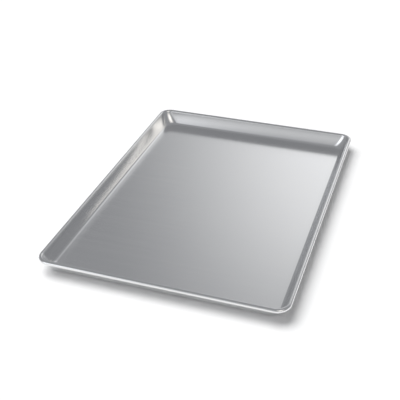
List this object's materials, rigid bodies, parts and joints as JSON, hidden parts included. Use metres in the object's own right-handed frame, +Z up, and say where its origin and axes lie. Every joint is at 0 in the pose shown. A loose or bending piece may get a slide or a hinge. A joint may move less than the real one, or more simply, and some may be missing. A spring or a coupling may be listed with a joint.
{
  "type": "sheet pan",
  "caption": "Shallow rectangular baking sheet pan in bare aluminium, with leaning walls, rounded corners and a wire-stiffened rolled rim.",
  "frame": {"origin": "under the middle of the floor, on the face that the pan stands on", "axes": "+X along the short sides, +Y along the long sides, +Z up, out of the open top"},
  "size_m": [0.378, 0.53, 0.0254],
  "materials": {
    "mill_finish_aluminium": "bare satin mill finish, drawn, with faint rolling grain along the pan's width",
    "galvanised_wire": "dull galvanised drawn wire, hidden in the rim"
  },
  "bodies": {
    "root": {"pan_body": "mill_finish_aluminium", "rim_wire": "galvanised_wire"}
  },
  "joints": []
}
